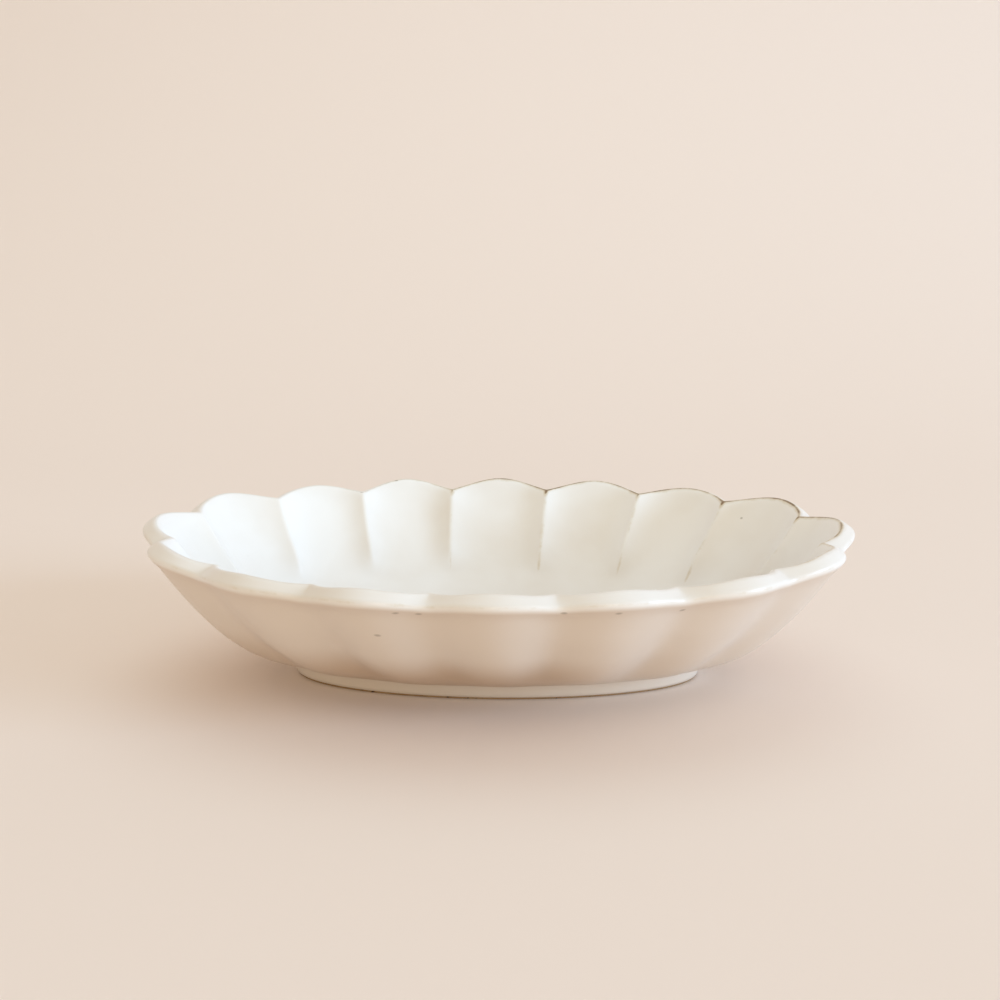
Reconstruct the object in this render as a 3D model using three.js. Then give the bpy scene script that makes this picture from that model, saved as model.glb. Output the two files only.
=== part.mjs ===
// Oval serving dish in white glazed stoneware: a fluted wall of petals on an oval foot ring.
// Millimetres, +Z up. The dish stands on its foot at height zero, its length along X.
import * as THREE from 'three';
import { mergeVertices } from 'three/addons/utils/BufferGeometryUtils.js';

// Finished size over the glaze
const overallLength = 240;
const overallWidth = 170;
const rimHeight = 52.2;
const endRise = 3;
const cornerFill = 1.6;

// Petals round the wall: the rim dips between them, with a ridge inside and a blunt crease outside
const petalCount = 16;
const innerDip = 6;
const outerDip = 3.9;
const ridgeHeight = 3.8;
const ridgeSharpness = 2.6;
const creaseDepth = 3.2;
const creaseBlunting = 0.09;

// Overhang past the foot where ridges and creases begin, and where they reach their full size
const ridgeStart = 25;
const ridgeFull = 37;
const creaseStart = 3;
const creaseFull = 26;

// Clay wall, seen in section
const wallThickness = 5.7;
const baseThickness = 6.2;
const rimSlope = 55;
const footSlope = 8;
const bendPull = 1.2;
const floorSag = 1.2;
const innerRounding = 0.9;
const outerRounding = 1;

// Foot ring, from its root under the base to the table
const footLength = 140;
const footWidth = 56;
const footHeight = 7;
const footDraft = 1.2;
const footRootWidth = 8.5;
const footContactWidth = 4.4;
const footBevel = 0.6;

// Glaze coat, wiped off the foot up to the glaze line
const glazeThickness = 0.45;
const glazeLine = 0.8;

// Columns in one petal and rows up each side of the wall
const petalColumns = 6;
const innerRows = 7;
const outerRows = 6;

const { lerp, smoothstep, degToRad } = THREE.MathUtils;
const columns = petalCount * petalColumns;
const rimAngle = degToRad(rimSlope);
const footAngle = degToRad(footSlope);

// A rounded corner falls short of the sharp one, so the sharp rim stands that much higher and wider
const tuck = Math.cos(rimAngle) + Math.sin(rimAngle) - 1;
const rimHalfLength = overallLength / 2 - glazeThickness + tuck * outerRounding;
const rimHalfWidth = overallWidth / 2 - glazeThickness + tuck * outerRounding;
const footHalfLength = footLength / 2;
const footHalfWidth = footWidth / 2;
const reach = rimHalfWidth - footHalfWidth;
const lipTop = rimHeight - glazeThickness + tuck * innerRounding;
const lipBottom = lipTop - wallThickness * Math.cos(rimAngle);

// Outer section of the wall: shallow where it leaves the foot, steep at the rim
const rimGrade = Math.tan(rimAngle);
const footGrade = Math.tan(footAngle);
const bendOut = (rimGrade * reach + footHeight - lipBottom) / (rimGrade - footGrade);
const bend = new THREE.Vector2(bendOut, footHeight + footGrade * bendOut);
const wallRoot = new THREE.Vector2(0, footHeight);
const wallTop = new THREE.Vector2(reach, lipBottom);

// A conic from foot to rim, pulled towards the corner where its two slopes meet
class WallSection extends THREE.Curve {
  getPoint(share) {
    const rootPart = (1 - share) ** 2;
    const bendPart = 2 * bendPull * share * (1 - share);
    const topPart = share ** 2;
    const point = wallRoot.clone().multiplyScalar(rootPart);
    point.addScaledVector(bend, bendPart).addScaledVector(wallTop, topPart);
    return point.divideScalar(rootPart + bendPart + topPart);
  }
}

const section = new WallSection();
section.arcLengthDivisions = 2000;
const rimRun = section.getLength();

// Petals take equal lengths of the oval half way up the wall
const middleLength = (rimHalfLength + footHalfLength) / 2;
const middleWidth = (rimHalfWidth + footHalfWidth) / 2;
const middleOval = new THREE.EllipseCurve(0, 0, middleLength, middleWidth, 0, 2 * Math.PI);
middleOval.arcLengthDivisions = 2000;

function columnAngle(column) {
  return 2 * Math.PI * middleOval.getUtoTmapping(column / columns);
}

// Place across a petal: zero on its middle line, a half on the ridge
function petalOffset(column) {
  const place = column / petalColumns;
  return place - Math.round(place);
}

// Crisp fold for the inside of the wall, one with a blunt peak for the outside
function crispFold(column, power) {
  return (2 * Math.abs(petalOffset(column))) ** power;
}

function bluntFold(column) {
  const apart = 0.5 - Math.abs(petalOffset(column));
  const whole = Math.hypot(0.5, creaseBlunting) - creaseBlunting;
  return (1 - (Math.hypot(apart, creaseBlunting) - creaseBlunting) / whole) ** 2;
}

// Point of the wall at a height along the section, set in from the outer curve by a depth
function wallPoint(column, along, depth) {
  const angle = columnAngle(column);
  const place = section.getPointAt(along);
  const run = section.getTangentAt(along);
  const share = place.x / reach;
  const fill = cornerFill * Math.sin(2 * angle) ** 2;
  const halfLength = lerp(footHalfLength, rimHalfLength + fill, share);
  const halfWidth = lerp(footHalfWidth, rimHalfWidth + fill, share);
  const outward = new THREE.Vector2(Math.cos(angle) / halfLength, Math.sin(angle) / halfWidth).normalize();
  const inset = depth * run.y;
  const lift = endRise * Math.abs(Math.cos(angle)) ** 3 * along ** 2;
  const x = halfLength * Math.cos(angle) - inset * outward.x;
  const y = halfWidth * Math.sin(angle) - inset * outward.y;
  return new THREE.Vector3(x, y, place.y + depth * run.x + lift);
}

function innerPoint(column, along) {
  const thickness = lerp(baseThickness, wallThickness, along);
  const grown = smoothstep(section.getPointAt(along).x, ridgeStart, ridgeFull);
  return wallPoint(column, along, thickness + ridgeHeight * crispFold(column, ridgeSharpness) * grown);
}

function outerPoint(column, along) {
  const grown = smoothstep(section.getPointAt(along).x, creaseStart, creaseFull);
  return wallPoint(column, along, creaseDepth * bluntFold(column) * grown);
}

function innerEnd(column) {
  return 1 - (innerDip * crispFold(column, 2)) / rimRun;
}

function outerEnd(column) {
  return 1 - (outerDip * bluntFold(column)) / rimRun;
}

// A ring holds one point for every column
function ring(place) {
  return Array.from({ length: columns }, (_, column) => place(column));
}

// Rings from the middle of the floor to the inner corner of the lip
const floorShares = [0.45, 0.8];
const wellEdge = ring((column) => innerPoint(column, 0));
const floorHeight = wellEdge[0].z - floorSag;

// The floor falls by a power of the distance that leaves the wall at the wall's own slope
function floorPoint(column, share) {
  const edge = wellEdge[column];
  const power = (footGrade * Math.hypot(edge.x, edge.y)) / floorSag;
  return new THREE.Vector3(edge.x * share, edge.y * share, lerp(floorHeight, edge.z, share ** power));
}

function innerWallPoint(column, share) {
  return innerPoint(column, share * (innerEnd(column) - innerRounding / rimRun));
}

const floorRings = floorShares.map((share) => ring((column) => floorPoint(column, share)));
const innerSteps = Array.from({ length: innerRows }, (_, row) => (row + 1) / innerRows);
const innerWallRings = innerSteps.map((share) => ring((column) => innerWallPoint(column, share)));
const innerRings = [...floorRings, wellEdge, ...innerWallRings];

// Rings from the wall root up the outside to the outer corner of the lip
function outerWallPoint(column, share) {
  return outerPoint(column, share * (outerEnd(column) - outerRounding / rimRun));
}

const wallFoot = ring((column) => outerPoint(column, 0));
const outerSteps = Array.from({ length: outerRows }, (_, row) => (row + 1) / outerRows);
const outerWallRings = outerSteps.map((share) => ring((column) => outerWallPoint(column, share)));

// Lip: a flat band square to the wall, rounded over at both corners
const arcShare = 1 - Math.SQRT1_2;

function lipCorners(column) {
  const inner = innerPoint(column, innerEnd(column));
  const outer = outerPoint(column, outerEnd(column));
  const across = outer.clone().sub(inner).normalize();
  const innerUp = inner.clone().sub(innerWallPoint(column, 1)).normalize();
  const outerUp = outer.clone().sub(outerWallPoint(column, 1)).normalize();
  return { inner, outer, across, innerUp, outerUp };
}

function innerCornerPoint(column) {
  const { inner, across, innerUp } = lipCorners(column);
  return inner.addScaledVector(across.sub(innerUp), innerRounding * arcShare);
}

function innerBandPoint(column) {
  const { inner, across } = lipCorners(column);
  return inner.addScaledVector(across, innerRounding);
}

function outerBandPoint(column) {
  const { outer, across } = lipCorners(column);
  return outer.addScaledVector(across, -outerRounding);
}

function outerCornerPoint(column) {
  const { outer, across, outerUp } = lipCorners(column);
  return outer.addScaledVector(across.add(outerUp), -outerRounding * arcShare);
}

const lipRings = [ring(outerCornerPoint), ring(outerBandPoint), ring(innerBandPoint)];
const bareCorner = ring(innerCornerPoint);

// Oval level with the table, set in from the outside of the foot root
function footRing(inset, height) {
  return ring((column) => {
    const angle = columnAngle(column);
    const x = (footHalfLength - inset) * Math.cos(angle);
    const y = (footHalfWidth - inset) * Math.sin(angle);
    return new THREE.Vector3(x, y, height);
  });
}

function outerInset(height) {
  return footDraft * (1 - height / footHeight);
}

const contactOuter = footDraft + footBevel;
const contactInner = contactOuter + footContactWidth;
const bevelInner = contactInner + footBevel;

function innerInset(height) {
  return lerp(bevelInner, footRootWidth, height / footHeight);
}

const outerGlazeEdge = footRing(outerInset(glazeLine), glazeLine);
const outerBevelRing = footRing(outerInset(footBevel), footBevel);
const outerContactRing = footRing(contactOuter, 0);
const innerContactRing = footRing(contactInner, 0);
const innerBevelRing = footRing(innerInset(footBevel), footBevel);
const innerGlazeEdge = footRing(innerInset(glazeLine), glazeLine);
const innerRootRing = footRing(footRootWidth, footHeight);

// Loft through the rings in turn. Every four-sided patch is split along its shorter diagonal.
function loft(rings, closed) {
  const corners = [];
  const last = closed ? rings.length : rings.length - 1;
  for (let row = 0; row < last; row += 1) {
    const lower = rings[row];
    const upper = rings[(row + 1) % rings.length];
    for (let column = 0; column < columns; column += 1) {
      const next = (column + 1) % columns;
      const a = lower[column % lower.length];
      const b = lower[next % lower.length];
      const c = upper[next % upper.length];
      const d = upper[column % upper.length];
      const short = a.distanceToSquared(c) < b.distanceToSquared(d);
      const faces = short ? [[a, b, c], [a, c, d]] : [[a, b, d], [b, c, d]];
      corners.push(...faces.filter((face) => new Set(face).size === 3).flat());
    }
  }
  const geometry = mergeVertices(new THREE.BufferGeometry().setFromPoints(corners), 1e-5);
  geometry.computeVertexNormals();
  return geometry;
}

// Coat over a run of rings: the same rings again, lifted by the glaze thickness along the surface
function coat(rings) {
  return rings.map((points, row) => {
    const below = rings[Math.max(row - 1, 0)];
    const above = rings[Math.min(row + 1, rings.length - 1)];
    return points.map((point, column) => {
      if (points.length === 1) {
        const side = Math.sign(point.z - footHeight) || -1;
        return point.clone().setZ(point.z + side * glazeThickness);
      }
      const before = points[(column + columns - 1) % columns];
      const after = points[(column + 1) % columns];
      const around = after.clone().sub(before);
      const up = above[column % above.length].clone().sub(below[column % below.length]);
      return point.clone().addScaledVector(around.cross(up).normalize(), glazeThickness);
    });
  });
}

const floorCentre = [new THREE.Vector3(0, 0, floorHeight)];
const baseCentre = [new THREE.Vector3(0, 0, footHeight)];

// Body: base, outer wall, lip and inside of the dish in one closed skin
const insideDown = [...innerRings].reverse();
const outsideUp = [baseCentre, wallFoot, ...outerWallRings];
const body = loft([...outsideUp, ...lipRings, bareCorner, ...insideDown, floorCentre], false);

// Foot: an oval ring pressed on under the base, flat where it meets the table
const footOuter = [outerContactRing, outerBevelRing, outerGlazeEdge, wallFoot];
const footInner = [innerRootRing, innerGlazeEdge, innerBevelRing, innerContactRing];
const foot = loft([...footOuter, ...footInner], true);

// Glaze inside the dish, up to the bare corner of the lip
const innerSeat = [...insideDown, floorCentre];
const innerCoat = loft([...coat(innerSeat).reverse(), ...innerSeat].reverse(), false);

// Glaze over the lip band and down the outside to the glaze line on the foot
const outerSeat = [outerGlazeEdge, wallFoot, ...outerWallRings, ...lipRings];
const outerCoat = loft([...coat(outerSeat), ...[...outerSeat].reverse()], true);

// Glaze under the base, inside the foot ring
const baseSeat = [baseCentre, innerRootRing, innerGlazeEdge];
const baseCoat = loft([...coat(baseSeat), ...[...baseSeat].reverse()], false);

function piece(name, geometry, color, roughness) {
  const material = new THREE.MeshStandardMaterial({ color, roughness, metalness: 0 });
  const mesh = new THREE.Mesh(geometry, material);
  mesh.name = name;
  return mesh;
}

const dish = new THREE.Group();
dish.name = 'oval_petal_dish';
dish.add(piece('stoneware_body', body, '#7a5a3c', 0.85));
dish.add(piece('foot_ring', foot, '#8a6a4a', 0.9));
dish.add(piece('inner_glaze', innerCoat, '#f0eeea', 0.22));
dish.add(piece('outer_glaze', outerCoat, '#efe9e0', 0.25));
dish.add(piece('base_glaze', baseCoat, '#ece6dc', 0.3));

export default dish;
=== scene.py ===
import math
import bpy
import numpy as np
from mathutils import Matrix, Vector


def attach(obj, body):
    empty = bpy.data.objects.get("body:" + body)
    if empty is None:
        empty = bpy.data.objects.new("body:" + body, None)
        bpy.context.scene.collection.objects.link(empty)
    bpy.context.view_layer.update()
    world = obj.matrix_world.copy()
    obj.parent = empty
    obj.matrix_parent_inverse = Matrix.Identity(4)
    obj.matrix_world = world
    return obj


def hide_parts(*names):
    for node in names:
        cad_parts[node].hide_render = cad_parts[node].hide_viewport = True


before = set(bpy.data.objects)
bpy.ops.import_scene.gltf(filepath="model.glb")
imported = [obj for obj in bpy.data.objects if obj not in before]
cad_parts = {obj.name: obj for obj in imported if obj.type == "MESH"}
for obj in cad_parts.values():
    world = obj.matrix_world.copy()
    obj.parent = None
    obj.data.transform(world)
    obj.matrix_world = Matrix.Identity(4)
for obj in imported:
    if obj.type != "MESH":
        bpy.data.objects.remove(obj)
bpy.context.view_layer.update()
scene = bpy.context.scene
scene.view_settings.view_transform = "Standard"
mm = 0.001  # metres in a millimetre
perMetre = 1000  # millimetres in a metre

# camera in front of the long side, looking a little down; millimetres and degrees
cameraSizes = {
    "right": 8.56, "front": 419.9, "height": 151.4, "lens": 45.75, "sensor": 36.0,
    "pitch": 12.13, "turn": 1.051, "roll": 0.182,
}
camData = bpy.data.cameras.new("camera")
camData.sensor_fit = "HORIZONTAL"
camData.sensor_width = cameraSizes["sensor"]
camData.lens = cameraSizes["lens"]
camera = bpy.data.objects.new("camera", camData)
scene.collection.objects.link(camera)
stand = Vector((cameraSizes["right"], -cameraSizes["front"], cameraSizes["height"])) * mm
aim = Matrix.Rotation(math.radians(cameraSizes["turn"]), 4, "Z")
aim = aim @ Matrix.Rotation(math.radians(90 - cameraSizes["pitch"]), 4, "X")  # at 90 it looks level
aim = aim @ Matrix.Rotation(math.radians(cameraSizes["roll"]), 4, "Z")
camera.matrix_world = Matrix.Translation(stand) @ aim
scene.camera = camera
print("camera set")

# wall: millimetres, with length, width and height over the glaze, and slopes in degrees; lipRoll presses
# the wall in under the lip, growing from rollStart to rollReach below it, and only on the upper wall, from
# share rollFrom to share rollFull of the run
wallSizes = {
    "length": 239.9, "width": 169.9, "height": 52.2, "wall": 5.7, "base": 6.2, "glaze": 0.45,
    "rimSlope": 55.0, "footSlope": 8.0, "bendPull": 1.2, "floorSag": 1.2, "cornerFill": 1.6,
    "endRise": 3.0, "endPower": 3, "risePower": 2, "innerRound": 0.9, "outerRound": 1.0,
    "lipRoll": 0.7, "rollStart": 1.0, "rollReach": 6.0, "rollFrom": 0.2, "rollFull": 0.7,
}

# petals: dips, ridge and crease in millimetres, starts and fulls as overhang past the foot in
# millimetres, blunts in petals
petalSizes = {
    "count": 16, "innerDip": 6.0, "outerDip": 3.9, "dipPower": 2, "notchBlunt": 0.09,
    "ridge": 4.2, "ridgeStart": 25.0, "ridgeFull": 37.0,
    "ridgePower": 2.9, "ridgeBlunt": 0.014, "lowBlunt": 0.09,
    "crease": 2.8, "creaseStart": 8.0, "creaseFull": 31.0, "creasePower": 2, "creaseBlunt": 0.2,
}

# pressed by hand: how far each ridge strays along the rim and leans by the floor, in petals, and how far
# each petal's top stands up, in millimetres
handWork = {
    "stray": [
        0, 0.016, -0.025, -0.005, 0.033, 0.014, -0.05, -0.008,
        0.018, 0, 0.003, -0.005, 0, 0.005, 0, -0.03,
    ],
    "lean": [-0.02, 0.03, -0.02, 0.0, 0.2, 0.24, 0.28, 0.12, 0.0, 0.0, 0.05, 0.09, 0.09, 0.07, 0.03, 0.0],
    "tops": [0.0, 0.3, 0.0, 0.8, 0.9, 1.1, 0.1, 0.6, 0.0, 0.2, -0.2, 0.1, 0.0, 0.2, -0.1, 0.1],
    "topPower": 5,
}

# slow waver of the pressed wall: depth in millimetres, waves round and up, shares of the run where it
# fades by foot and lip, and a turn of the waves for each side of the wall
waverSizes = {
    "depth": 0.14, "slowRound": 5, "slowUp": 7.0, "fastRound": 11, "fastUp": 9.0,
    "footFade": (0.0, 0.3), "lipFade": (0.8, 0.95), "inside": 0.7, "outside": 2.1,
}

# columns in a petal, drawn together at the ridges by gather, rows over each stretch, and points in tables
gridSizes = {
    "petalColumns": 28, "gather": 0.62, "floorRows": 14, "wallRows": 44, "outerRows": 44,
    "cornerRows": 9, "bandRows": 8, "footRows": 12, "bevelRows": 6,
    "sectionPoints": 2001, "ovalPoints": 4001,
}

rimAngle = math.radians(wallSizes["rimSlope"])
footAngle = math.radians(wallSizes["footSlope"])
tuck = math.cos(rimAngle) + math.sin(rimAngle) - 1  # how far a rounded corner falls short of a sharp one
rimHalfLength = wallSizes["length"] / 2 - wallSizes["glaze"] + tuck * wallSizes["outerRound"]
rimHalfWidth = wallSizes["width"] / 2 - wallSizes["glaze"] + tuck * wallSizes["outerRound"]

# foot ring under the base, in millimetres
footSizes = {
    "length": 140.0, "width": 56.0, "height": 7.0, "draft": 1.2, "root": 8.5,
    "contact": 4.4, "bevel": 0.6, "glazeLine": 0.8,
}
footHalfLength = footSizes["length"] / 2
footHalfWidth = footSizes["width"] / 2
rootHeight = footSizes["height"]

reach = rimHalfWidth - footHalfWidth
lipTop = wallSizes["height"] - wallSizes["glaze"] + tuck * wallSizes["innerRound"]
lipBottom = lipTop - wallSizes["wall"] * math.cos(rimAngle)
bendOut = (lipBottom - rootHeight - math.tan(rimAngle) * reach) / (math.tan(footAngle) - math.tan(rimAngle))
bendHeight = rootHeight + math.tan(footAngle) * bendOut

# outer section of the wall: a conic from the foot to the lip, pulled towards the corner of its two slopes
conicStep = np.linspace(0, 1, gridSizes["sectionPoints"])
cornerWeight = 2 * wallSizes["bendPull"] * conicStep * (1 - conicStep)
conicWeights = np.stack([(1 - conicStep) ** 2, cornerWeight, conicStep ** 2])
conicWeights = conicWeights / conicWeights.sum(axis=0)
sectionOut = np.array([0.0, bendOut, reach]) @ conicWeights
sectionUp = np.array([rootHeight, bendHeight, lipBottom]) @ conicWeights
sectionRun = np.concatenate([[0], np.cumsum(np.hypot(np.diff(sectionOut), np.diff(sectionUp)))])
rimRun = sectionRun[-1]
sectionTurn = np.arctan2(np.gradient(sectionUp), np.gradient(sectionOut))

# equal lengths of the oval half way up the wall give the petals their places
tableAngle = np.linspace(0, 2 * np.pi, gridSizes["ovalPoints"])
tableX = (rimHalfLength + footHalfLength) / 2 * np.cos(tableAngle)
tableY = (rimHalfWidth + footHalfWidth) / 2 * np.sin(tableAngle)
tableArc = np.concatenate([[0], np.cumsum(np.hypot(np.diff(tableX), np.diff(tableY)))])
tableArc = tableArc / tableArc[-1]

# places of the columns: whole numbers are petal middles, halves are ridges
petals = petalSizes["count"]
step = np.arange(gridSizes["petalColumns"]) / gridSizes["petalColumns"]
step = step - gridSizes["gather"] * np.sin(2 * np.pi * step) / (2 * np.pi)
place = (np.arange(petals)[:, None] + 0.5 + step[None, :]).reshape(1, -1)
fromRidge = place - 0.5 - np.round(place - 0.5)
columnCount = place.size
ridgePlace = np.arange(petals) + 0.5
stray = np.interp(place, ridgePlace, handWork["stray"], period=petals)
lean = np.interp(place, ridgePlace, handWork["lean"], period=petals)
petalOf = np.mod(np.round(place), petals).astype(int)
tops = np.array(handWork["tops"])[petalOf] * np.sin(np.pi * np.abs(fromRidge)) ** 2


def smooth(value, low, high):
    # cubic step from 0 at low to 1 at high
    t = np.clip((value - low) / (high - low), 0, 1)
    return t * t * (3 - 2 * t)


def bell(distance, spread):
    # one at no distance, falling off with the square of distance over spread
    return np.exp(-(distance / spread) ** 2)


def unit(vectors):
    # each vector over its own length, with a least length that keeps zero from dividing
    return vectors / np.maximum(np.linalg.norm(vectors, axis=-1, keepdims=True), 1e-9)


def angleAt(along):
    # column's place, strayed and leaning, looked up on the oval's table of equal lengths
    moved = place + stray + lean * (1 - along)
    return np.interp(np.mod(moved / petals, 1), tableArc, tableAngle)


def sectionAt(along):
    # outer section looked up at a share of its length: overhang, height and unit direction
    run = along * rimRun
    out = np.interp(run, sectionRun, sectionOut)
    up = np.interp(run, sectionRun, sectionUp)
    turn = np.interp(run, sectionRun, sectionTurn)
    return out, up, np.cos(turn), np.sin(turn)


def wallPoint(along, depth):
    # oval grown from foot to rim by the section's overhang, then set in square to the section by depth
    out, up, runOut, runUp = sectionAt(along)
    angle = angleAt(along)
    share = out / reach
    fill = wallSizes["cornerFill"] * np.sin(2 * angle) ** 2
    halfLength = footHalfLength + (rimHalfLength + fill - footHalfLength) * share
    halfWidth = footHalfWidth + (rimHalfWidth + fill - footHalfWidth) * share
    sideX = np.cos(angle) / halfLength
    sideY = np.sin(angle) / halfWidth
    side = np.hypot(sideX, sideY)
    inset = depth * runUp
    towardsEnd = np.abs(np.cos(angle)) ** wallSizes["endPower"]
    rise = wallSizes["endRise"] * towardsEnd * along ** wallSizes["risePower"]
    rise = rise + tops * along ** handWork["topPower"]
    x = halfLength * np.cos(angle) - inset * sideX / side
    y = halfWidth * np.sin(angle) - inset * sideY / side
    return np.stack([x, y, up + depth * runOut + rise], axis=-1)


def fluteAt(along, start, full):
    # flutes grow from nothing at one overhang to full depth at another
    return smooth(sectionAt(along)[0], petalSizes[start], petalSizes[full])


def waverAt(along, turn):
    # sum of two products of slow waves round and up the wall, none at the foot and at the lip
    angle = angleAt(along)
    slow = np.sin(waverSizes["slowRound"] * angle + turn) * np.sin(waverSizes["slowUp"] * along + 2 * turn)
    fast = np.sin(waverSizes["fastRound"] * angle + 3 * turn) * np.sin(waverSizes["fastUp"] * along)
    fade = smooth(along, *waverSizes["footFade"]) * (1 - smooth(along, *waverSizes["lipFade"]))
    return waverSizes["depth"] * (slow + fast) * fade


def crispFold(blunt, power):
    # one on the ridge, falling to nothing at the petal's middle, to a power; blunt rounds its peak
    apart = np.hypot(fromRidge, blunt) - blunt
    return np.maximum(1 - apart / (np.hypot(0.5, blunt) - blunt), 0) ** power


# shares of the run where the wall ends inside and outside, lower between the petals
innerNotch = crispFold(petalSizes["ridgeBlunt"], petalSizes["dipPower"])
outerNotch = crispFold(petalSizes["notchBlunt"], petalSizes["dipPower"])
innerEnd = 1 - petalSizes["innerDip"] * innerNotch / rimRun
outerEnd = 1 - petalSizes["outerDip"] * outerNotch / rimRun


def innerPoint(along):
    # wall thickness plus the ridge and the waver, measured in from the outer curve
    thickness = wallSizes["base"] + (wallSizes["wall"] - wallSizes["base"]) * along
    flute = fluteAt(along, "ridgeStart", "ridgeFull")
    blunt = petalSizes["ridgeBlunt"] + petalSizes["lowBlunt"] * (1 - flute) ** 2
    fold = petalSizes["ridge"] * crispFold(blunt, petalSizes["ridgePower"]) * flute
    return wallPoint(along, thickness + fold + waverAt(along, waverSizes["inside"]))


def outerPoint(along):
    # outer curve pressed in along the creases, and a little all the way under the rolled lip
    fold = petalSizes["crease"] * crispFold(petalSizes["creaseBlunt"], petalSizes["creasePower"])
    fold = fold * fluteAt(along, "creaseStart", "creaseFull")
    underLip = smooth((outerEnd - along) * rimRun, wallSizes["rollStart"], wallSizes["rollReach"])
    underLip = underLip * smooth(along, wallSizes["rollFrom"], wallSizes["rollFull"])
    waver = np.abs(waverAt(along, waverSizes["outside"]))
    return wallPoint(along, fold + wallSizes["lipRoll"] * underLip + waver)


def rowsTo(count):
    # even rows from just above 0 up to 1, standing as a column
    return np.arange(1, count + 1)[:, None] / count


def cornerArc(corner, first, second, radius):
    # quarter circle round a corner, from radius along first to radius along second
    turn = np.linspace(0, np.pi / 2, gridSizes["cornerRows"])[:, None, None]
    return corner[None] + radius * ((1 - np.sin(turn)) * first[None] + (1 - np.cos(turn)) * second[None])


# floor: ovals shrink to the middle and fall by a power that leaves the wall at the wall's own slope
wellEdge = innerPoint(np.zeros_like(place))[0]
floorHeight = wellEdge[0, 2] - wallSizes["floorSag"]
floorPower = math.tan(footAngle) * np.hypot(wellEdge[:, 0], wellEdge[:, 1]) / wallSizes["floorSag"]
floorShare = rowsTo(gridSizes["floorRows"])
floorGrid = np.stack([
    wellEdge[None, :, 0] * floorShare,
    wellEdge[None, :, 1] * floorShare,
    floorHeight + wallSizes["floorSag"] * floorShare ** floorPower[None, :],
], axis=-1)
innerAlong = rowsTo(gridSizes["wallRows"]) * (innerEnd - wallSizes["innerRound"] / rimRun)
innerWall = innerPoint(innerAlong)
insideUp = np.concatenate([floorGrid, innerWall])

# outside of the wall, and the lip band between the two
wallFoot = outerPoint(np.zeros_like(place))
outerWall = outerPoint(rowsTo(gridSizes["outerRows"]) * (outerEnd - wallSizes["outerRound"] / rimRun))
innerCorner = innerPoint(innerEnd)[0]
outerCorner = outerPoint(outerEnd)[0]
across = unit(outerCorner - innerCorner)
innerArc = cornerArc(innerCorner, unit(innerWall[-1] - innerCorner), across, wallSizes["innerRound"])
outerArc = cornerArc(outerCorner, -across, unit(outerWall[-1] - outerCorner), wallSizes["outerRound"])
bandShare = np.linspace(0, 1, gridSizes["bandRows"])[1:-1, None, None]
band = innerArc[-1][None] * (1 - bandShare) + outerArc[0][None] * bandShare
meetRow = len(innerArc) // 2  # row of the inner corner where the inner and outer coats meet


def footOval(inset, height):
    # level oval, set in from the outside of the foot's root
    angle = angleAt(np.zeros_like(place))
    x = (footHalfLength - inset) * np.cos(angle)
    y = (footHalfWidth - inset) * np.sin(angle)
    return np.stack([x, y, np.full_like(x, height)], axis=-1)


def footSide(low, high):
    # straight side from the glaze line to the root, leaning from one inset to another
    heights = np.linspace(footSizes["glazeLine"], rootHeight, gridSizes["footRows"])
    return np.concatenate([footOval(low + (high - low) * h / rootHeight, h) for h in heights])


def footBevel(inset, side):
    # quarter circle from the table up to the foot's side
    turns = np.linspace(0, np.pi / 2, gridSizes["bevelRows"])
    insets = inset + side * footSizes["bevel"] * np.sin(turns)
    heights = footSizes["bevel"] * (1 - np.cos(turns))
    return np.concatenate([footOval(i, h) for i, h in zip(insets, heights)])


contactOuter = footSizes["draft"] + footSizes["bevel"]
contactInner = contactOuter + footSizes["contact"]
outerSide = footSide(footSizes["draft"], 0.0)
innerSide = footSide(contactInner + footSizes["bevel"], footSizes["root"])
outerBevel = footBevel(contactOuter, -1)
innerBevel = footBevel(contactInner, 1)
print("shape worked out,", columnCount, "columns")


def normalsOf(grid):
    # cross product of the steps round and along the grid
    around = np.roll(grid, -1, axis=1) - np.roll(grid, 1, axis=1)
    return unit(np.cross(around, np.gradient(grid, axis=0)))


def runOf(grid):
    # length along the rows of the grid, averaged over the columns
    steps = np.linalg.norm(np.diff(grid, axis=0), axis=-1).mean(axis=1)
    return np.concatenate([[0], np.cumsum(steps)])[:, None]


def skinMesh(name, strips, closed=False, poles=(None, None), marks=None):
    # rows of points joined by four-sided faces; the ends close on each other or on a pole
    points = np.concatenate(strips).reshape(-1, 3)
    index = np.arange(len(points)).reshape(-1, columnCount)
    lower = index if closed else index[:-1]
    upper = np.roll(index, -1, axis=0) if closed else index[1:]
    corners = [lower, np.roll(lower, -1, axis=1), np.roll(upper, -1, axis=1), upper]
    faces = np.stack(corners, axis=-1).reshape(-1, 4).tolist()
    if poles[0] is not None:
        points = np.concatenate([points, [poles[0]]])
        tip = np.full(columnCount, len(points) - 1)
        faces += np.stack([tip, np.roll(index[0], -1), index[0]], axis=-1).tolist()
    if poles[1] is not None:
        points = np.concatenate([points, [poles[1]]])
        tip = np.full(columnCount, len(points) - 1)
        faces += np.stack([index[-1], np.roll(index[-1], -1), tip], axis=-1).tolist()
    mesh = bpy.data.meshes.new(name)
    mesh.from_pydata((points * mm).tolist(), [], faces)
    mesh.polygons.foreach_set("use_smooth", np.ones(len(mesh.polygons), dtype=bool))
    for label, values in (marks or {}).items():
        rows = [np.broadcast_to(value, (len(value), columnCount)) for value in values]
        spread = np.zeros(len(points), dtype=np.float32)
        spread[:index.size] = np.concatenate(rows).reshape(-1)
        mesh.attributes.new(label, "FLOAT", "POINT").data.foreach_set("value", spread)
    mesh.update()
    piece = bpy.data.objects.new(name, mesh)
    scene.collection.objects.link(piece)
    return piece


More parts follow.
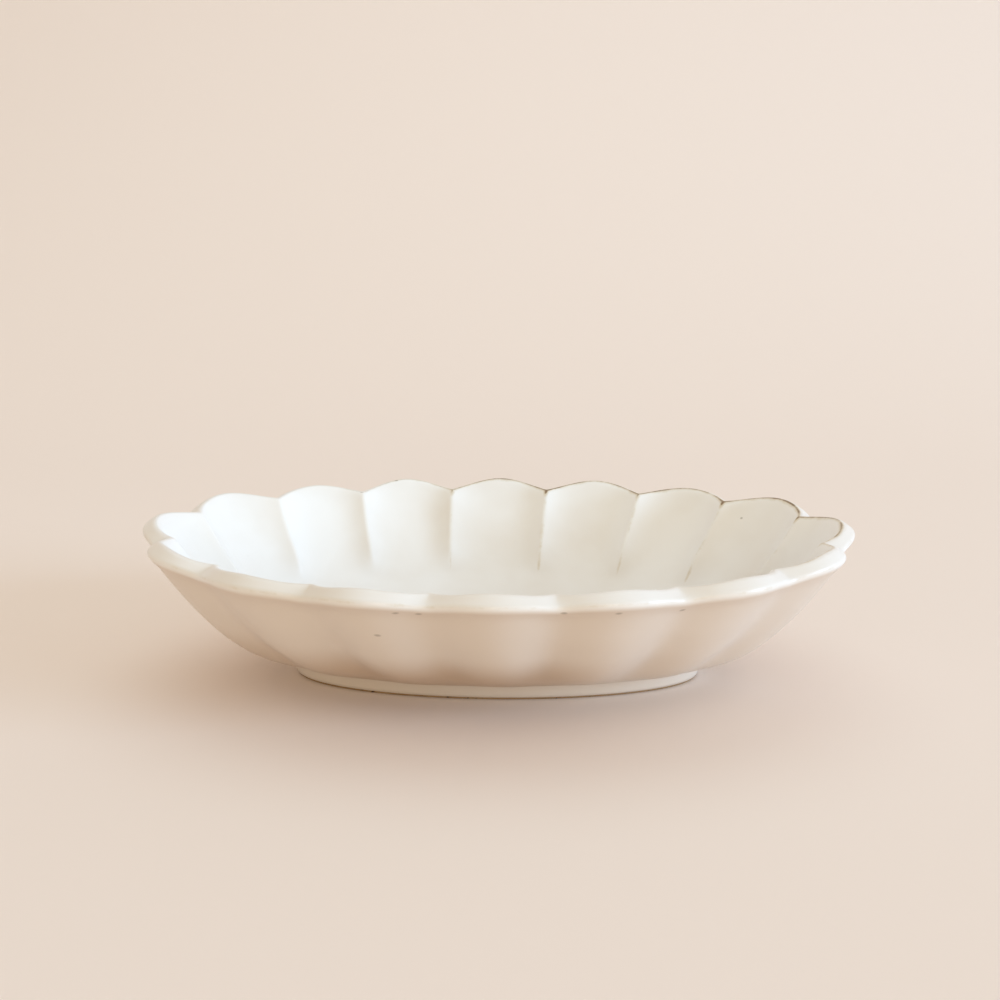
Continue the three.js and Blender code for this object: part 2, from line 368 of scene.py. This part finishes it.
def linear(hexColour):
    # sRGB hex to linear red, green, blue
    values = [int(hexColour[i:i + 2], 16) / 255 for i in (1, 3, 5)]
    return tuple(v / 12.92 if v <= 0.04045 else ((v + 0.055) / 1.055) ** 2.4 for v in values) + (1.0,)


def newMaterial(name):
    # empty material and its node tree
    material = bpy.data.materials.new(name)
    material.use_nodes = True
    material.node_tree.nodes.clear()
    return material, material.node_tree


def addNode(tree, kind, settings=None, inputs=None, links=None):
    # one node with its settings, socket values and incoming links
    node = tree.nodes.new(kind)
    for key, value in (settings or {}).items():
        setattr(node, key, value)
    for key, value in (inputs or {}).items():
        node.inputs[key].default_value = value
    for key, source in (links or {}).items():
        tree.links.new(source, node.inputs[key])
    return node


# a mix node set to colours, and its sockets
colourMix = {"data_type": "RGBA"}
mixShare = 0
mixFirst = 6
mixSecond = 7
mixResult = 2


def dress(piece, material, node):
    # gives the piece its material and the root body, and hides the imported part named by node
    piece.data.materials.append(material)
    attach(piece, "root")
    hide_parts(node)


# milk-white stoneware glaze, dipped and fired: soft gloss, faint clouds, tan then brown where it runs thin;
# sizes in millimetres, and ranges say where a colour begins, where it is full and how much of it at most
glazeFinish = {
    # lean and sand are painted shade: lean darkens and warms the outer wall below the lip band, sand is a
    # sandy painted shade above the foot and under the lip
    "white": "#F6F5F3", "cloud": "#EFEBE5", "lean": "#E2D6CA", "sand": "#C0A488",
    "tan": "#CDBB98", "brown": "#84694A", "speck": "#5A4329",
    "roughness": 0.3, "roughLess": 0.05, "roughMore": 0.07, "mottleSize": 5.0, "ior": 1.5,
    "cloudSize": 38.0, "cloudRange": {"From Min": 0.42, "From Max": 0.72},
    "peelSize": 3.2, "peelStrength": 0.06, "peelDepth": 0.4,
    "breakSize": 7.0, "breakAmount": 0.9,
    "tanRange": {"From Min": 0.3, "From Max": 0.8, "To Max": 0.8},
    "brownRange": {"From Min": 0.68, "From Max": 0.9},
    "speckSpacing": 24.0, "speckSize": 0.35, "speckMost": 0.85, "speckRare": 0.72,
    "spotSize": 0.5, "spotEdge": 1.8, "spotMost": 0.55, "spotShape": (0.62, 1.0, 1.0),
}


def glazeMaterial(name, finish, spots=()):
    # clouded white, with painted shade on the outer wall (lean) and above the foot (sand), the colours of
    # thin glaze, partly painted shade along the inner ridges, and the specks laid over it in turn
    material, tree = newMaterial(name)
    coord = addNode(tree, "ShaderNodeTexCoord").outputs["Object"]
    onPiece = {"Vector": coord}
    clouds = {"Scale": perMetre / finish["cloudSize"], "Detail": 3.0}
    cloud = addNode(tree, "ShaderNodeTexNoise", None, clouds, onPiece).outputs["Fac"]
    cloudMask = addNode(tree, "ShaderNodeMapRange", None, finish["cloudRange"], {"Value": cloud})
    whites = {mixFirst: linear(finish["white"]), mixSecond: linear(finish["cloud"])}
    body = addNode(tree, "ShaderNodeMix", colourMix, whites, {mixShare: cloudMask.outputs["Result"]})
    # painted shade: warmer and darker on the outer wall below the lip band, and sandy above the foot and
    # under the lip
    wallShadeShare = addNode(tree, "ShaderNodeAttribute", {"attribute_name": "paintedWallShade"}).outputs["Fac"]
    paintedShadeShare = addNode(tree, "ShaderNodeAttribute", {"attribute_name": "paintedShade"}).outputs["Fac"]
    # thin glaze goes tan, then brown along the very edge, broken up by noise; along the inner ridges the tan
    # is partly painted shade
    thinAndRidgeShade = addNode(tree, "ShaderNodeAttribute", {"attribute_name": "thinGlazeAndRidgeShade"}).outputs["Fac"]
    breaks = {"Scale": perMetre / finish["breakSize"], "Detail": 4.0, "Roughness": 0.65}
    ragged = addNode(tree, "ShaderNodeTexNoise", None, breaks, onPiece).outputs["Fac"]
    aboutZero = {1: finish["breakAmount"], 2: -finish["breakAmount"] / 2}
    shift = addNode(tree, "ShaderNodeMath", {"operation": "MULTIPLY_ADD"}, aboutZero, {0: ragged}).outputs[0]
    wornAndShaded = addNode(tree, "ShaderNodeMath", {"operation": "ADD"}, None, {0: thinAndRidgeShade, 1: shift})
    byWearAndShade = {"Value": wornAndShaded.outputs[0]}
    tanMask = addNode(tree, "ShaderNodeMapRange", None, finish["tanRange"], byWearAndShade)
    brownMask = addNode(tree, "ShaderNodeMapRange", None, finish["brownRange"], byWearAndShade)
    # iron specks: one small dot in some of the cells of a cell pattern
    spacing = {"Scale": perMetre / finish["speckSpacing"]}
    cells = addNode(tree, "ShaderNodeTexVoronoi", None, spacing, onPiece)
    dotEdge = finish["speckSize"] / finish["speckSpacing"]
    dotRange = {"From Min": dotEdge, "From Max": 2 * dotEdge, "To Min": finish["speckMost"], "To Max": 0.0}
    dot = addNode(tree, "ShaderNodeMapRange", None, dotRange, {"Value": cells.outputs["Distance"]})
    byCell = {0: cells.outputs["Color"]}
    chosen = addNode(tree, "ShaderNodeMath", {"operation": "GREATER_THAN"}, {1: finish["speckRare"]}, byCell)
    masks = {0: dot.outputs["Result"], 1: chosen.outputs[0]}
    speckMask = addNode(tree, "ShaderNodeMath", {"operation": "MULTIPLY"}, None, masks).outputs[0]
    # larger specks, drawn out a little along the dish
    shape = finish["spotShape"]
    drawn = addNode(tree, "ShaderNodeVectorMath", {"operation": "MULTIPLY"}, {1: shape}, {0: coord})
    spotRange = {
        "From Min": finish["spotSize"] * mm, "From Max": finish["spotSize"] * finish["spotEdge"] * mm,
        "To Min": finish["spotMost"], "To Max": 0.0,
    }
    onDrawn = {0: drawn.outputs[0]}
    for spot in spots:
        middle = {1: spot * shape * mm}
        away = addNode(tree, "ShaderNodeVectorMath", {"operation": "DISTANCE"}, middle, onDrawn)
        spotMask = addNode(tree, "ShaderNodeMapRange", None, spotRange, {"Value": away.outputs["Value"]})
        masks = {0: speckMask, 1: spotMask.outputs["Result"]}
        speckMask = addNode(tree, "ShaderNodeMath", {"operation": "MAXIMUM"}, None, masks).outputs[0]
    # each colour laid over the ones before it by its own share; lean and sand are painted shade, and the tan
    # partly so along the inner ridges
    layers = {
        "lean": wallShadeShare, "sand": paintedShadeShare, "tan": tanMask.outputs["Result"],
        "brown": brownMask.outputs["Result"], "speck": speckMask,
    }
    colour = body.outputs[mixResult]
    for shade, share in layers.items():
        over = {mixSecond: linear(finish[shade])}
        layer = addNode(tree, "ShaderNodeMix", colourMix, over, {mixShare: share, mixFirst: colour})
        colour = layer.outputs[mixResult]
    # gloss that varies in small mottles, and a faint peel
    mottles = {"Scale": perMetre / finish["mottleSize"], "Detail": 2.0}
    mottle = addNode(tree, "ShaderNodeTexNoise", None, mottles, onPiece).outputs["Fac"]
    roughRange = {
        "To Min": finish["roughness"] - finish["roughLess"],
        "To Max": finish["roughness"] + finish["roughMore"],
    }
    rough = addNode(tree, "ShaderNodeMapRange", None, roughRange, {"Value": mottle})
    peels = {"Scale": perMetre / finish["peelSize"], "Detail": 1.0}
    peel = addNode(tree, "ShaderNodeTexNoise", None, peels, onPiece).outputs["Fac"]
    relief = {"Strength": finish["peelStrength"], "Distance": finish["peelDepth"] * mm}
    bump = addNode(tree, "ShaderNodeBump", None, relief, {"Height": peel})
    shader = addNode(tree, "ShaderNodeBsdfPrincipled", None, {"IOR": finish["ior"]}, {
        "Base Color": colour, "Roughness": rough.outputs["Result"], "Normal": bump.outputs["Normal"],
    })
    addNode(tree, "ShaderNodeOutputMaterial", None, None, {"Surface": shader.outputs[0]})
    return material


# fired iron-bearing stoneware, wiped clean of glaze: matt brown, sandy, with darker grit; sizes in
# millimetres, and grit and sand are drawn coarser than the real ones, so that they show
clayFinish = {
    "light": "#9A7750", "dark": "#6B4A2C", "grit": "#3E2A18", "roughness": 0.85, "ior": 1.5,
    "patchSize": 12.0, "gritSize": 1.6, "gritRange": {"From Min": 0.62, "From Max": 0.72},
    "sandSize": 0.8, "sandStrength": 0.3, "sandDepth": 0.3,
}


def clayMaterial(name, finish):
    # light and dark clay mixed in patches, grit over both, and a sandy bump
    material, tree = newMaterial(name)
    onPiece = {"Vector": addNode(tree, "ShaderNodeTexCoord").outputs["Object"]}
    patches = {"Scale": perMetre / finish["patchSize"], "Detail": 4.0}
    patch = addNode(tree, "ShaderNodeTexNoise", None, patches, onPiece).outputs["Fac"]
    clays = {mixFirst: linear(finish["light"]), mixSecond: linear(finish["dark"])}
    body = addNode(tree, "ShaderNodeMix", colourMix, clays, {mixShare: patch})
    grits = {"Scale": perMetre / finish["gritSize"], "Detail": 2.0}
    grit = addNode(tree, "ShaderNodeTexNoise", None, grits, onPiece).outputs["Fac"]
    gritMask = addNode(tree, "ShaderNodeMapRange", None, finish["gritRange"], {"Value": grit})
    overBody = {mixShare: gritMask.outputs["Result"], mixFirst: body.outputs[mixResult]}
    colour = addNode(tree, "ShaderNodeMix", colourMix, {mixSecond: linear(finish["grit"])}, overBody)
    sands = {"Scale": perMetre / finish["sandSize"], "Detail": 3.0}
    sand = addNode(tree, "ShaderNodeTexNoise", None, sands, onPiece).outputs["Fac"]
    relief = {"Strength": finish["sandStrength"], "Distance": finish["sandDepth"] * mm}
    bump = addNode(tree, "ShaderNodeBump", None, relief, {"Height": sand})
    plain = {"IOR": finish["ior"], "Roughness": finish["roughness"]}
    shader = addNode(tree, "ShaderNodeBsdfPrincipled", None, plain, {
        "Base Color": colour.outputs[mixResult], "Normal": bump.outputs["Normal"],
    })
    addNode(tree, "ShaderNodeOutputMaterial", None, None, {"Surface": shader.outputs[0]})
    return material


# larger iron specks where the photograph shows them: share of the wall's run, and place round the dish
ironSpots = {
    "inside": [(0.855, 1.27), (0.952, 4.62), (0.993, 5.11), (0.92, 5.51)],
    "outside": [(0.93, 11.28), (0.91, 11.43), (0.925, 12.55), (0.95, 12.94), (0.885, 13.5), (0.785, 11.07)],
}


def spotsOn(surface, spots):
    # point of the clay at each share of the run and the nearest column
    points = []
    for along, wanted in spots:
        column = np.abs(place[0] - wanted).argmin()
        points.append(surface(np.full_like(place, along))[0, column])
    return points


insideFinish = dict(glazeFinish, spotSize=0.36)
outsideFinish = dict(glazeFinish, cloud="#EDE7DE", spotMost=0.4)
baseFinish = dict(glazeFinish, white="#EFEBE3", cloud="#E4DACB", roughness=0.36)
footFinish = dict(clayFinish, light="#B99A72", dark="#8F6E49")
insideSpots = spotsOn(innerPoint, ironSpots["inside"])
outsideSpots = spotsOn(outerPoint, ironSpots["outside"])
insideGlaze = glazeMaterial("milkWhiteGlazeInside", insideFinish, insideSpots)
outsideGlaze = glazeMaterial("milkWhiteGlazeOutside", outsideFinish, outsideSpots)
baseGlaze = glazeMaterial("milkWhiteGlazeUnderBase", baseFinish)
bodyClay = clayMaterial("firedStonewareBody", clayFinish)
footClay = clayMaterial("firedStonewareFoot", footFinish)
print("materials ready")

glaze = wallSizes["glaze"]
floorCentre = np.array([0.0, 0.0, floorHeight])
baseCentre = np.array([0.0, 0.0, rootHeight])
coatRise = np.array([0.0, 0.0, glaze])

# clay body: under the base, up the outside, over the lip and down to the floor
overLip = [outerArc[1:][::-1], outerArc[:1], band[::-1], innerArc[::-1]]
bodyStrips = [wallFoot, outerWall[:-1], *overLip, insideUp[:-1][::-1]]
bodyPiece = skinMesh("stonewareBody", bodyStrips, poles=(baseCentre, floorCentre))
dress(bodyPiece, bodyClay, "stoneware_body")

# foot ring: a closed section carried round the oval
footPiece = skinMesh("footRing", [outerBevel, outerSide, innerSide[::-1], innerBevel[::-1]], closed=True)
dress(footPiece, footClay, "foot_ring")

# both coats where they meet on the lip: feathered to an edge, and barest about one petal of the back rim;
# millimetres along the run, places in petals, rounds as steps of a wave round the dish, the rest shares
coatSizes = {
    "feather": 1.6, "edge": 0.12, "tanReach": 1.5,
    "bareMost": 0.85, "bareLeast": 0.2, "barePlace": 2.0, "bareRound": (0.42, 0.9),
}


def aroundFrom(centre, steps):
    # raised cosine round the dish, one at the centre's petal, stepped between two of its values
    return smooth(0.5 + 0.5 * np.cos(2 * np.pi * (place - centre) / petals), *steps)


def lipThin(toLip):
    # bareness of the lip there, fading out over the tan's reach
    bareness = aroundFrom(coatSizes["barePlace"], coatSizes["bareRound"])
    bareness = coatSizes["bareLeast"] + (coatSizes["bareMost"] - coatSizes["bareLeast"]) * bareness
    return (1 - smooth(toLip, 0.0, coatSizes["tanReach"])) * bareness


def coatDepth(toLip):
    # full depth of glaze, thinning to the edge's share of it over the feather
    return glaze * (coatSizes["edge"] + (1 - coatSizes["edge"]) * smooth(toLip, 0.0, coatSizes["feather"]))


# inner coat: lifted off the clay, with tan lines over the tops of the ridges about the barest petal, partly
# thin glaze and partly painted shade on the ridges' shadowed side, more tan low down, and a dash of thin
# glaze under the lip
innerCoatSizes = {
    "ridgeSpread": 0.024, "ridgeTanAndShade": 0.34, "ridgeRound": (0.6, 0.85), "ridgeEnd": (34.0, 42.0),
    "lowTanAndShade": 0.56, "lowPlace": 34.0, "lowSpread": 7.0, "dash": 1.0, "dashReach": 3.5,
}
innerSeat = np.concatenate([insideUp, innerArc[1:meetRow + 1]])
innerRun = runOf(innerSeat)
innerToLip = innerRun[-1] - innerRun
# tan lines on the ridges: thin glaze, and painted shade on their shadowed side
acrossRidgeTanShade = bell(fromRidge, innerCoatSizes["ridgeSpread"])
acrossRidgeTanShade = acrossRidgeTanShade * aroundFrom(coatSizes["barePlace"], innerCoatSizes["ridgeRound"])
lowDown = bell(innerToLip - innerCoatSizes["lowPlace"], innerCoatSizes["lowSpread"])
alongRidgeTanShade = np.maximum(innerCoatSizes["ridgeTanAndShade"], innerCoatSizes["lowTanAndShade"] * lowDown)
alongRidgeTanShade = alongRidgeTanShade * (1 - smooth(innerToLip, *innerCoatSizes["ridgeEnd"]))
alongRidgeTanShade = np.maximum(alongRidgeTanShade, innerCoatSizes["dash"] * bell(innerToLip, innerCoatSizes["dashReach"]))
innerThinAndShade = np.maximum(lipThin(innerToLip), alongRidgeTanShade * acrossRidgeTanShade)
innerCoat = innerSeat - normalsOf(innerSeat) * coatDepth(innerToLip)[..., None]
innerPoles = (floorCentre, floorCentre + coatRise)
innerMarks = {"thinGlazeAndRidgeShade": [innerThinAndShade, innerThinAndShade[::-1]]}
innerPiece = skinMesh("innerGlaze", [innerSeat, innerCoat[::-1]], poles=innerPoles, marks=innerMarks)
dress(innerPiece, insideGlaze, "inner_glaze")

# outer coat: from the glaze line on the foot, pooled at the root, up the wall and over the lip band; painted
# shade in a sandy colour above the foot, most about shadePlace and less about sidePlace, and a little under
# the lip
outerCoatSizes = {
    "lineDepth": 0.3, "lineReach": 1.2, "pool": 0.7, "poolSpread": 1.7,
    "brimTan": 0.33, "brimSpread": 0.5, "wallShadeReach": 2.5, "lipWallShade": 0.22,
    "paintedShade": 0.85, "rootBlend": 1.0, "shadeFull": 22.0, "shadeReach": 43.0,
    "shadePlace": 11.4, "shadeRound": (0.88, 0.99),
    "sidePaintedShade": 0.5, "sidePlace": 9.5, "sideRound": (0.25, 0.8),
    "lipPaintedShade": 0.3, "lipShadeStart": (0.5, 2.5), "lipShadeSpread": 6.0,
}
outerSeat = np.concatenate([outerSide, outerWall[:-1], *overLip[:-1], innerArc[meetRow:-1][::-1]])
outerRun = runOf(outerSeat)
outerToLip = outerRun[-1] - outerRun
upFromRoot = outerRun - outerRun[len(outerSide) - 1]
brimRow = len(outerSide) + len(outerWall) - 1 + len(outerArc) // 2  # middle of the lip's outer corner
toBrim = outerRun[brimRow] - outerRun
onBrim = outerCoatSizes["brimTan"] * bell(toBrim, outerCoatSizes["brimSpread"])
outerThin = np.maximum(lipThin(outerToLip), onBrim)
# painted shade: the whole outer wall takes the darker, warmer lean colour, and the lip band only a little of
# it
outerWallShade = 1 - (1 - outerCoatSizes["lipWallShade"]) * (1 - smooth(toBrim, 0.0, outerCoatSizes["wallShadeReach"]))
# painted shade above the foot, darkest about shadePlace on the front and some about sidePlace
sidePaintedShade = aroundFrom(outerCoatSizes["sidePlace"], outerCoatSizes["sideRound"])
sidePaintedShade = outerCoatSizes["sidePaintedShade"] * sidePaintedShade
mostShade = aroundFrom(outerCoatSizes["shadePlace"], outerCoatSizes["shadeRound"])
outerPaintedShade = smooth(upFromRoot, -outerCoatSizes["rootBlend"], outerCoatSizes["rootBlend"])
outerPaintedShade = outerPaintedShade * (1 - smooth(upFromRoot, outerCoatSizes["shadeFull"], outerCoatSizes["shadeReach"]))
outerPaintedShade = outerCoatSizes["paintedShade"] * outerPaintedShade * (sidePaintedShade + (1 - sidePaintedShade) * mostShade)
# painted shade in a narrow band under the lip
underLip = smooth(toBrim, *outerCoatSizes["lipShadeStart"])
underLip = underLip * np.exp(-toBrim / outerCoatSizes["lipShadeSpread"])
outerPaintedShade = np.maximum(outerPaintedShade, outerCoatSizes["lipPaintedShade"] * underLip)
fromLine = smooth(outerRun, 0.0, outerCoatSizes["lineReach"])
fromLine = outerCoatSizes["lineDepth"] + (1 - outerCoatSizes["lineDepth"]) * fromLine
rootPool = outerCoatSizes["pool"] * bell(upFromRoot, outerCoatSizes["poolSpread"])
outerDepth = coatDepth(outerToLip) * fromLine + rootPool
outerCoat = outerSeat + normalsOf(outerSeat) * outerDepth[..., None]
outerMarks = {
    "thinGlazeAndRidgeShade": [outerThin, outerThin[::-1]],
    "paintedWallShade": [outerWallShade, outerWallShade[::-1]],
    "paintedShade": [outerPaintedShade, outerPaintedShade[::-1]],
}
outerPiece = skinMesh("outerGlaze", [outerCoat, outerSeat[::-1]], closed=True, marks=outerMarks)
dress(outerPiece, outsideGlaze, "outer_glaze")

# coat under the base, in ovals at shares of the way out, and down the inside of the foot to its glaze line
baseShares = (0.4, 0.7, 0.9)
baseReach = footHalfWidth - footSizes["root"]
baseOvals = [footOval(footSizes["root"] + baseReach * (1 - share), rootHeight) for share in baseShares]
baseSeat = np.concatenate([*baseOvals, innerSide[::-1]])
baseCoat = baseSeat + normalsOf(baseSeat) * glaze
basePiece = skinMesh("baseGlaze", [baseCoat, baseSeat[::-1]], poles=(baseCentre - coatRise, baseCentre))
dress(basePiece, baseGlaze, "base_glaze")
print("pieces made")

# seamless paper, matt and warm: a level floor that sweeps up behind the dish in one large curve; millimetres
paperFinish = {
    "colour": "#F6E9E0", "roughness": 0.9, "curvePoints": 48,
    "front": 6000.0, "back": 350.0, "half": 6000.0, "curve": 1600.0, "top": 2600.0,
}
sweepTurn = np.linspace(0, np.pi / 2, paperFinish["curvePoints"])
sweepY = paperFinish["back"] + paperFinish["curve"] * np.sin(sweepTurn)
sweepY = np.concatenate([[-paperFinish["front"]], sweepY, sweepY[-1:]])
sweepZ = paperFinish["curve"] * (1 - np.cos(sweepTurn))
sweepZ = np.concatenate([[0.0], sweepZ, [paperFinish["top"]]])
sweepX = np.array([-paperFinish["half"], paperFinish["half"]])
sweepCount = len(sweepY)
sweepPoints = np.stack([np.repeat(sweepX, sweepCount), np.tile(sweepY, 2), np.tile(sweepZ, 2)], axis=-1)
near = np.arange(sweepCount - 1)
sweepFaces = np.stack([near, near + sweepCount, near + sweepCount + 1, near + 1], axis=-1)
sweepMesh = bpy.data.meshes.new("paperSweep")
sweepMesh.from_pydata((sweepPoints * mm).tolist(), [], sweepFaces.tolist())
sweepMesh.polygons.foreach_set("use_smooth", np.ones(sweepCount - 1, dtype=bool))
sweep = bpy.data.objects.new("paperSweep", sweepMesh)
scene.collection.objects.link(sweep)
paper, tree = newMaterial("seamlessPaper")
paperSockets = {"Base Color": linear(paperFinish["colour"]), "Roughness": paperFinish["roughness"]}
shader = addNode(tree, "ShaderNodeBsdfPrincipled", None, paperSockets)
addNode(tree, "ShaderNodeOutputMaterial", None, None, {"Surface": shader.outputs[0]})
sweepMesh.materials.append(paper)

# soft lights: a cool window from the right, a weak ceiling, a warm lamp far in front, and room light all
# round; metres and watts
lightSizes = {
    "window": {"from": (2.8, -0.9, 0.7), "size": 1.18, "power": 61.6, "colour": "#BCDEFF"},
    "ceiling": {"from": (-0.1, 0.4, 1.5), "size": 1.6, "power": 4.1, "colour": "#E1F7FF"},
    "front": {"from": (0.2, -4.0, 1.0), "size": 1.5, "power": 22.0, "colour": "#FFEBB5"},
}
roomLight = {"colour": "#FFF4E5", "strength": 0.652}
for name, sizes in lightSizes.items():
    lamp = bpy.data.lights.new(name, "AREA")
    lamp.shape = "DISK"
    lamp.size = sizes["size"]
    lamp.energy = sizes["power"]
    lamp.color = linear(sizes["colour"])[:3]
    holder = bpy.data.objects.new(name, lamp)
    holder.location = sizes["from"]
    holder.rotation_euler = (-Vector(sizes["from"])).to_track_quat("-Z", "Y").to_euler()
    scene.collection.objects.link(holder)
world = bpy.data.worlds.new("roomLight")
world.use_nodes = True
world.node_tree.nodes["Background"].inputs["Color"].default_value = linear(roomLight["colour"])
world.node_tree.nodes["Background"].inputs["Strength"].default_value = roomLight["strength"]
scene.world = world
print("floor and light set")

bpy.context.view_layer.update()
